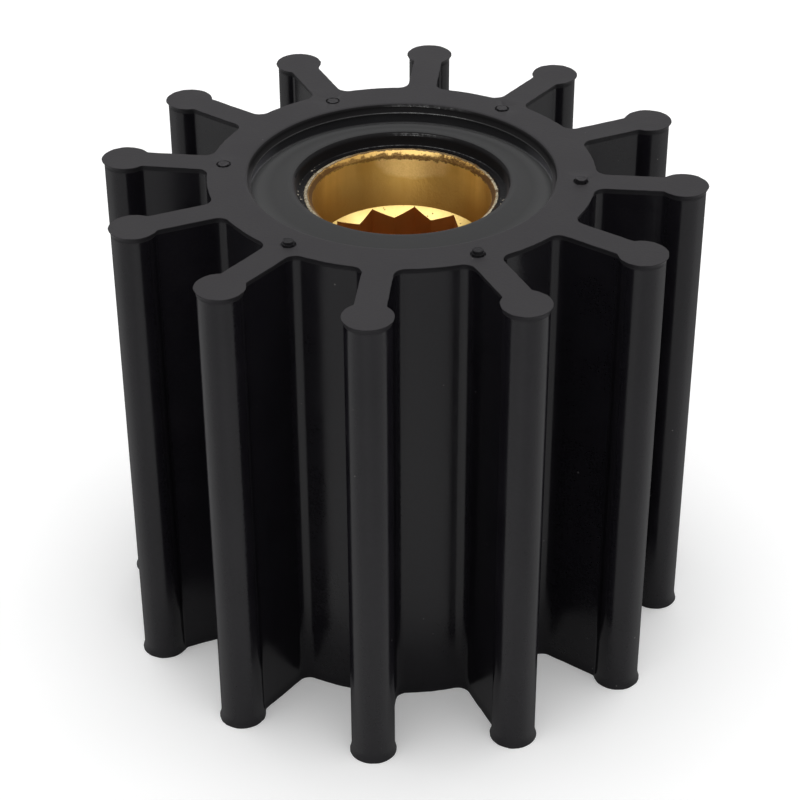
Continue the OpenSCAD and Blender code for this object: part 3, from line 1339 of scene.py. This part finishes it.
    def pip_profile(self, top: float, tiers: int = 1) -> list[Vector]:
        """Section of a pip: a narrow dimple round it, its wall, and a head with a soft edge.

        Args:
            top: Height of the head above the face.
            tiers: Number of tiers in the wall.

        Returns:
            Radius and height above the face of each point, from the dimple's edge to the head's middle.
        """
        r = self.pip_r
        low = -self.pip_dimple
        dimple = [
            Vector((r + self.pip_gap + self.pip_border, 0.0)),
            Vector((r + self.pip_gap, 0.0)),
            Vector((r + 0.3 * self.pip_gap, low)),
            Vector((r + 0.05 * self.pip_gap, low)),
        ]
        soft = min(self.pip_soft, 0.5 * (top - low))
        wall = [Vector((r, low + 0.3 * (top - low - soft)))]
        if tiers > 1:
            wall += [Vector((r, 0.30 * top)), Vector((r - self.pip_ledge, 0.30 * top + 0.5 * self.pip_ledge))]
            r -= self.pip_ledge
        head = arc(Vector((r - soft, top - soft)), soft, 0, 90, 4)
        middle = [Vector((share * r, top - self.pip_hollow)) for share in (0.72, 0.5, 0.25)]
        return dimple + wall + head + middle

    def build_pips(self) -> None:
        """Raise each pip from its ring in the upper face."""
        for place, top, tiers in zip(self.pip_places(), self.pip_tops, self.pip_tiers):
            profile = self.pip_profile(top, tiers)
            Bench.pick(Part.RIM, lambda middle, _: (middle - place).length < profile[0].x + CLOSE)
            Bench.pull_profile(place, profile)
            bpy.ops.mesh.edge_face_add()

    def set_vanes(self) -> None:
        """Bend each vane a little off its true angle, as soft vanes are after moulding."""
        step = FULL_TURN / self.vane_count
        for i, degrees in enumerate(self.vane_set):
            if degrees == 0:
                continue
            way = Matrix.Rotation(step * i, 3, "Z") @ Vector((1, 0, 0))
            side = Vector((-way.y, way.x, 0))
            reach = self.bead_at - self.bead_r

            def on_bead(middle: Vector, _normal: Vector) -> bool:
                """Whether a vertex belongs to this vane's bead."""
                return middle.dot(way) > reach and abs(middle.dot(side)) < 2 * self.bead_r

            Bench.pick(Part.VERT, on_bead)
            bpy.ops.transform.rotate(
                value=-math.radians(degrees),
                orient_axis="Z",
                center_override=way * self.hub_r,
                use_proportional_edit=True,
                use_proportional_connected=True,
                proportional_edit_falloff="SMOOTH",
                proportional_size=self.bend_reach,
            )

    def build(self) -> bpy.types.Object:
        """Model the body.

        Returns:
            The finished piece, not yet dressed.
        """
        piece = Bench.open_piece("moulded_body")
        self.build_side(piece)
        self.build_upper_face()
        self.build_pips()
        self.build_lower_face()
        Bench.weld()
        self.set_vanes()
        self.group_lips()
        self.group_pips()
        bpy.ops.object.mode_set(mode="OBJECT")
        Bench.roughen(piece, "lips", grain=0.8 * MM, depth=0.16 * MM)
        Bench.roughen(piece, "pips", grain=0.55 * MM, depth=0.2 * MM, ways="XYZ")
        Bench.smooth(piece, crease=38)
        return piece

    def group_lips(self) -> None:
        """Put the flash lips in a vertex group, full at the edge and half down the flare."""
        edge_h = 1.5 * self.edge_r

        def from_end(middle: Vector) -> float:
            """Distance of a vertex of the outline from the nearer end face, and far for any other vertex."""
            outside = middle.xy.length > self.hub_r - self.ragged_h
            return min(middle.z, self.height - middle.z) if outside else self.height

        Bench.group("lips", 1.0, lambda middle, _: from_end(middle) < edge_h)
        Bench.group("lips", 0.5, lambda middle, _: edge_h <= from_end(middle) < self.ragged_h)

    def from_pips(self, middle: Vector, least_tiers: int = 1) -> float:
        """Distance of a place from the nearest pip's axis.

        Args:
            middle: The place.
            least_tiers: Number of tiers that a pip has to have to count.

        Returns:
            The distance.
        """
        counted = [p for p, tiers in zip(self.pip_places(), self.pip_tiers) if tiers >= least_tiers]
        return min((middle.xy - place.xy).length for place in counted)

    def group_pips(self) -> None:
        """Put the pips in a vertex group, but for the heads of the tallest, which keep their height."""
        reach = self.pip_r + self.pip_gap

        def on_pip(middle: Vector, _normal: Vector) -> bool:
            """Whether a vertex lies low on a pip or in its dimple."""
            return abs(middle.z - self.height) < self.pip_ragged_h and self.from_pips(middle) < reach

        Bench.group("pips", 1.0, on_pip)

    def dress(self, piece: bpy.types.Object) -> None:
        """Give each kind of surface its finish.

        Args:
            piece: The finished piece.
        """
        top = self.height
        close = 0.01 * MM
        slack = 0.1 * MM
        bore_r = self.recess_r + self.recess_edge_r - close
        crown_r = self.collar_r + 0.6 * self.crown_r
        catch_z = top - self.catch_depth
        pip_reach = self.pip_r + self.pip_gap

        def on_end(middle: Vector, normal: Vector) -> bool:
            """Tell faces on an end face, on its edge, and on the start of the recess's edge.

            Args:
                middle: A face's middle.
                normal: Its normal.

            Returns:
                Whether the face is one of them.
            """
            near = middle.z < self.edge_r or middle.z > top - self.end_drop
            sloped = self.end_slopes[0 if middle.xy.length > self.hub_r - MM else 1]
            return abs(normal.z) > sloped and near and middle.xy.length > self.recess_r

        def on_flare(middle: Vector, normal: Vector) -> bool:
            """Whether a face lies on the flare of the upper flash lip."""
            outside = middle.xy.length > self.hub_r - self.lip_out
            return abs(normal.z) < self.flare_slope and top - middle.z < self.lip_h and outside

        def on_recess_wall(middle: Vector, normal: Vector) -> bool:
            """Whether a face lies on the recess's walls or the collar."""
            inside = middle.xy.length < bore_r and middle.z > top - self.rim_depth - close
            return inside and not on_end(middle, normal)

        def on_recess_edge(middle: Vector, normal: Vector) -> bool:
            """Tell faces on the back half of the recess's round edge and of the collar's crown.

            Args:
                middle: A face's middle.
                normal: Its normal.

            Returns:
                Whether the face is one of them.
            """
            on_edge = top - self.recess_edge_r < middle.z < top - slack
            on_edge = on_edge and between(normal.z, self.edge_slopes)
            on_crown = middle.xy.length < crown_r and between(normal.z, self.crown_slopes)
            return middle.y > 0 and middle.z > top - self.recess_depth and (on_edge or on_crown)

        def on_nose(middle: Vector, _normal: Vector) -> bool:
            """Whether a face lies on the catch's nose."""
            out = middle.xy.length - self.recess_r + self.catch_in
            return abs(out) < self.nose_reach[0] and abs(middle.z - catch_z) < self.nose_reach[1]

        def on_undercut(middle: Vector, _normal: Vector) -> bool:
            """Whether a face lies on the recess's outer wall under the catch."""
            return self.recess_r - MM < middle.xy.length < bore_r and middle.z < catch_z - slack

        def on_recess_floor(middle: Vector, normal: Vector) -> bool:
            """Whether a face lies on the recess's floor."""
            gap_r = self.collar_r - self.collar_lean - 0.3 * MM
            return gap_r < middle.xy.length < bore_r and normal.z > self.floor_slope and middle.z < catch_z

        def on_ledge(middle: Vector, _normal: Vector) -> bool:
            """Whether a face lies on the ledge round the insert."""
            return middle.xy.length < self.collar_r and middle.z < top - self.rim_depth + 0.15 * MM

        def on_pip(middle: Vector, normal: Vector) -> bool:
            """Whether a face lies on a pip's wall, in its dimple, or on the head of a tall pip."""
            if abs(middle.z - top) > 0.9 * MM or self.from_pips(middle) >= pip_reach:
                return False
            # The heads of the two-tier pips take the dark pip rubber as painted shade.
            return normal.z < self.pip_slope or self.from_pips(middle, 2) < self.pip_r

        tests = {
            Surface.GROUND: on_end,
            Surface.FLARE: on_flare,
            Surface.WALL: on_recess_wall,
            Surface.EDGE: on_recess_edge,
            Surface.NOSE: on_nose,
            Surface.UNDER: on_undercut,
            Surface.FLOOR: on_recess_floor,
            Surface.LEDGE: on_ledge,
            Surface.PIP: on_pip,
        }
        Bench.paint(piece, RUBBER, tests)


@dataclass
class BrassInsert:
    """The bonded insert: turned sleeve with bond grooves, counterbore, coned floor and V-groove spline."""

    node: str = "brass_insert"
    cbore_depth: float = 9.7 * MM
    chamfer_sink: float = 0.05 * MM
    corner_w: float = 0.42 * MM
    corner_foot: float = 0.1 * MM
    corner_h: float = 2.4 * MM
    floor_angle: float = 118.0
    spline_count: int = 12
    spline_root_r: float = 13.5 * MM
    spline_tip_r: float = 11.7 * MM
    spline_clock: float = -2.5
    lead_chamfer: float = 1.8 * MM
    lead_margin: float = 0.2 * MM
    bond_count: int = 3
    bond_w: float = 2 * MM
    bond_depth: float = 0.5 * MM
    outer_edge_h: float = 0.6 * MM
    outer_round_r: float = 0.15 * MM
    mouth_round_r: float = 0.1 * MM
    past: float = 1 * MM
    bore_rows: tuple[float, ...] = (0.2 * MM, 0.45 * MM, 0.8 * MM, 3 * MM)
    turn_steps: int = 480
    chamfer_steps: int = 5

    insert_r: float = field(init=False)
    foot_z: float = field(init=False)

    def __post_init__(self) -> None:
        """Take the insert's outside and its lower end from the frame."""
        low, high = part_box(self.node)
        self.insert_r = high[0]
        self.foot_z = low[2]

    def profile(self) -> list[Vector]:
        """Section of the insert before the spline is cut, from the axis below to the axis on the coned floor.

        Returns:
            Radius and height of each point.
        """
        floor_z = RIM_Z - self.cbore_depth
        span = floor_z - self.foot_z
        points = [Vector((0, self.foot_z)), Vector((self.insert_r, self.foot_z))]
        for i in range(1, self.bond_count + 1):
            middle = self.foot_z + span * i / (self.bond_count + 1)
            for depth, side in ((0, -1), (self.bond_depth, -1), (self.bond_depth, 1), (0, 1)):
                points.append(Vector((self.insert_r - depth, middle + side * self.bond_w / 2)))
        outer, lip = self.outer_round_r, self.mouth_round_r
        points.append(Vector((self.insert_r, RIM_Z - self.outer_edge_h)))
        points += arc(Vector((self.insert_r - outer, RIM_Z - outer)), outer, 0, 90, 3)
        mouth_r = BORE_R + MOUTH_CHAMFER
        points.append(Vector((mouth_r + 2 * lip, RIM_Z)))
        points += arc(Vector((mouth_r + lip, RIM_Z - lip)), lip, 90, 140, 2)
        for i in range(1, self.chamfer_steps + 1):
            drop = MOUTH_CHAMFER * i / self.chamfer_steps
            points.append(Vector((mouth_r - drop, RIM_Z - drop - self.chamfer_sink)))
        points += [Vector((BORE_R, RIM_Z - MOUTH_CHAMFER - drop)) for drop in self.bore_rows]
        points.append(Vector((BORE_R, floor_z + self.corner_h)))
        foot = Vector((BORE_R - self.corner_w, floor_z + self.corner_foot))
        points.append(foot)
        slope = math.tan(math.radians(90 - self.floor_angle / 2))
        points.append(Vector((0, foot.y - foot.x * slope)))
        return points

    def build_sleeve(self) -> bpy.types.Object:
        """Turn the sleeve, with its counterbore but no spline yet.

        Returns:
            The sleeve.
        """
        piece = Bench.open_piece("turned_insert")
        Bench.draw_path([Vector((p.x, 0, p.y)) for p in self.profile()])
        bpy.ops.mesh.select_all(action="SELECT")
        Bench.sweep(Vector(), FULL_TURN, self.turn_steps)
        Bench.weld()
        return piece

    def build_broach(self) -> bpy.types.Object:
        """Model the star-shaped broach that cuts the driving hole, with the lead-in cone at its foot.

        Returns:
            The broach.
        """
        broach = Bench.open_piece("broach")
        step = math.pi / self.spline_count
        ring = []
        for i in range(2 * self.spline_count + 1):
            r = self.spline_root_r if i % 2 == 0 else self.spline_tip_r
            angle = math.radians(self.spline_clock) + i * step
            ring.append(Vector((r * math.cos(angle), r * math.sin(angle), self.foot_z - self.past)))
        Bench.draw_path(ring)
        Bench.weld()
        bpy.ops.mesh.edge_face_add()
        bpy.ops.mesh.extrude_region_move(TRANSFORM_OT_translate={"value": (0, 0, RIM_Z + 2 * self.past)})
        Bench.weld()
        bpy.ops.object.mode_set(mode="OBJECT")
        return broach

    def build_lead(self) -> bpy.types.Object:
        """Model the cone that cuts the lead-in chamfer below.

        Returns:
            The cone.
        """
        mouth_r = self.spline_root_r + self.lead_margin
        Bench.clear()
        bpy.ops.mesh.primitive_cone_add(
            vertices=self.turn_steps // 4,
            radius1=mouth_r + self.past,
            radius2=mouth_r - self.lead_chamfer,
            depth=self.past + self.lead_chamfer,
            location=(0, 0, self.foot_z + (self.lead_chamfer - self.past) / 2),
        )
        return bpy.context.object

    def cut(self, piece: bpy.types.Object, tool: bpy.types.Object) -> None:
        """Cut a tool's shape out of the insert and throw the tool away.

        Args:
            piece: The insert.
            tool: The cutting shape.
        """
        Bench.take(piece)
        boolean = piece.modifiers.new("cut", "BOOLEAN")
        boolean.operation = "DIFFERENCE"
        boolean.solver = "EXACT"
        boolean.object = tool
        bpy.ops.object.modifier_apply(modifier=boolean.name)
        bpy.data.objects.remove(tool)

    def build(self) -> bpy.types.Object:
        """Model the insert.

        Returns:
            The finished piece, not yet dressed.
        """
        piece = self.build_sleeve()
        bpy.ops.object.mode_set(mode="OBJECT")
        self.cut(piece, self.build_broach())
        self.cut(piece, self.build_lead())
        bpy.ops.object.mode_set(mode="EDIT")
        Bench.weld()

        def near_rim(middle: Vector, _normal: Vector) -> bool:
            """Whether a vertex lies on the rim or its chamfer."""
            drop = RIM_Z - middle.z
            return drop < 1.1 * MOUTH_CHAMFER and middle.xy.length < self.insert_r - 0.05 * MM

        Bench.group("rim", 1.0, near_rim)
        bpy.ops.object.mode_set(mode="OBJECT")
        Bench.roughen(piece, "rim", grain=0.7 * MM, depth=0.09 * MM, ways="XYZ")
        Bench.smooth(piece, crease=32)
        return piece

    def dress(self, piece: bpy.types.Object) -> None:
        """Give the insert its brass.

        Args:
            piece: The finished piece.
        """
        floor_z = RIM_Z - self.cbore_depth

        def on_floor(middle: Vector, normal: Vector) -> bool:
            """Whether a face lies on the counterbore's coned floor."""
            return normal.z > 0.6 and middle.z < floor_z + MOUTH_CHAMFER

        def on_spline(middle: Vector, normal: Vector) -> bool:
            """Whether a face lies in the driving hole."""
            return middle.xy.length < self.spline_root_r and abs(normal.z) < 0.5 and middle.z < floor_z

        Bench.paint(piece, BRASS, {Cut.FLOOR: on_floor, Cut.SPLINE: on_spline})


@dataclass
class Studio:
    """White floor, a broad light overhead, a white room, and the photograph's camera."""

    floor_r: float = 4.0
    floor_steps: int = 96
    softbox: float = 1.7
    softbox_z: float = 1.25
    softbox_watts: float = 15.0
    strip_reach: float = 1.0
    strip_rise: float = 24.0
    strip_size: Span = (0.7, 0.2)
    strip_watts: float = 2.2
    room: float = 0.42
    front_room: float = 0.6
    front_span: Span = (-0.5, 0.3)
    azimuth: float = VIEW_TURN
    elevation: float = 33.332
    roll: float = -0.231
    distance: float = 371.741 * MM
    aim_right: float = -0.42 * MM
    aim_z: float = 37.703 * MM
    lens: float = 100.57
    sensor: float = 36.0
    clip: Span = (1 * MM, 20.0)

    def build_floor(self) -> None:
        """Lay the floor."""
        Bench.clear()
        bpy.ops.mesh.primitive_circle_add(
            vertices=self.floor_steps, radius=self.floor_r, fill_type="NGON", location=(0, 0, 0)
        )
        floor = bpy.context.object
        floor.name = "studio_floor"
        floor.data.materials.append(FloorFinish().make("studio_white"))

    def build_strip(self) -> None:
        """Hang a strip lamp in front, seen only as a glint on round edges."""
        rise = math.radians(self.strip_rise)
        place = Vector((0, -math.cos(rise), math.sin(rise))) * self.strip_reach
        bpy.ops.object.light_add(type="AREA", location=place, rotation=(QUARTER_TURN - rise, 0, 0))
        lamp = bpy.context.object
        lamp.name = "strip"
        lamp.data.shape = "RECTANGLE"
        lamp.data.size, lamp.data.size_y = self.strip_size
        lamp.data.energy = self.strip_watts
        lamp.visible_diffuse = False

    def build_softbox(self) -> None:
        """Hang the overhead softbox."""
        bpy.ops.object.light_add(type="AREA", location=(0, 0, self.softbox_z))
        lamp = bpy.context.object
        lamp.name = "softbox"
        lamp.data.shape = "SQUARE"
        lamp.data.size = self.softbox
        lamp.data.energy = self.softbox_watts

    def build_room(self) -> None:
        """Make the room's light: soft on the object, and white to the camera, in gloss and through glass."""
        world = bpy.data.worlds.new("white_room")
        bpy.context.scene.world = world
        n = Nodes(world)
        path = n.add("LightPath").outputs
        seen = path["Is Camera Ray"]
        for name in ("Is Glossy Ray", "Is Transmission Ray"):
            seen = n.math("MAXIMUM", seen, path[name])
        way = n.axes(n.add("TexCoord").outputs["Generated"])
        low, high = self.front_span
        front = n.add(
            "MapRange", interpolation_type="SMOOTHSTEP", Value=way["Y"],
            From_Min=low, From_Max=high, To_Min=self.front_room, To_Max=1.0,
        )
        shown = n.math("MAXIMUM", front.outputs["Result"], path["Is Camera Ray"])
        strength = n.fit(seen, 0.0, 1.0, self.room, shown)
        n.finish(n.add("Background", Color=(1.0, 1.0, 1.0, 1.0), Strength=strength))

    def build_camera(self) -> None:
        """Set the camera at the photograph's place, angle and lens."""
        a = math.radians(self.azimuth)
        e = math.radians(self.elevation)
        r = math.radians(self.roll)
        right = Vector((math.cos(a), math.sin(a), 0))
        back = Vector((math.sin(a) * math.cos(e), -math.cos(a) * math.cos(e), math.sin(e)))
        up = back.cross(right)
        side = right * math.cos(r) + up * math.sin(r)
        top = up * math.cos(r) - right * math.sin(r)
        target = right * self.aim_right + Vector((0, 0, self.aim_z))
        bpy.ops.object.camera_add()
        camera = bpy.context.object
        camera.name = "photo_camera"
        turn = Matrix((side, top, back)).transposed().to_4x4()
        camera.matrix_world = Matrix.Translation(target + back * self.distance) @ turn
        camera.data.sensor_width = self.sensor
        camera.data.lens = self.lens
        camera.data.clip_start, camera.data.clip_end = self.clip
        bpy.context.scene.camera = camera

    def build(self) -> None:
        """Build the studio round the object."""
        self.build_floor()
        self.build_softbox()
        self.build_strip()
        self.build_room()
        self.build_camera()
        bpy.context.scene.view_settings.view_transform = "Standard"


def report(piece: bpy.types.Object) -> None:
    """Log a piece's name and size.

    Args:
        piece: A finished piece.
    """
    log.info("%s: %d faces", piece.name, len(piece.data.polygons))


def main() -> None:
    """Build the pieces in order, dress them, seat them on the frame and set up the studio."""
    logging.basicConfig(level=logging.INFO, format="%(name)s: %(message)s")
    for maker, slot in ((RubberBody(), "rubber"), (BrassInsert(), "brass")):
        piece = maker.build()
        maker.dress(piece)
        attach(piece, "root")
        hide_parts(maker.node)
        report(piece)
    Studio().build()


if __name__ == "__main__":
    main()
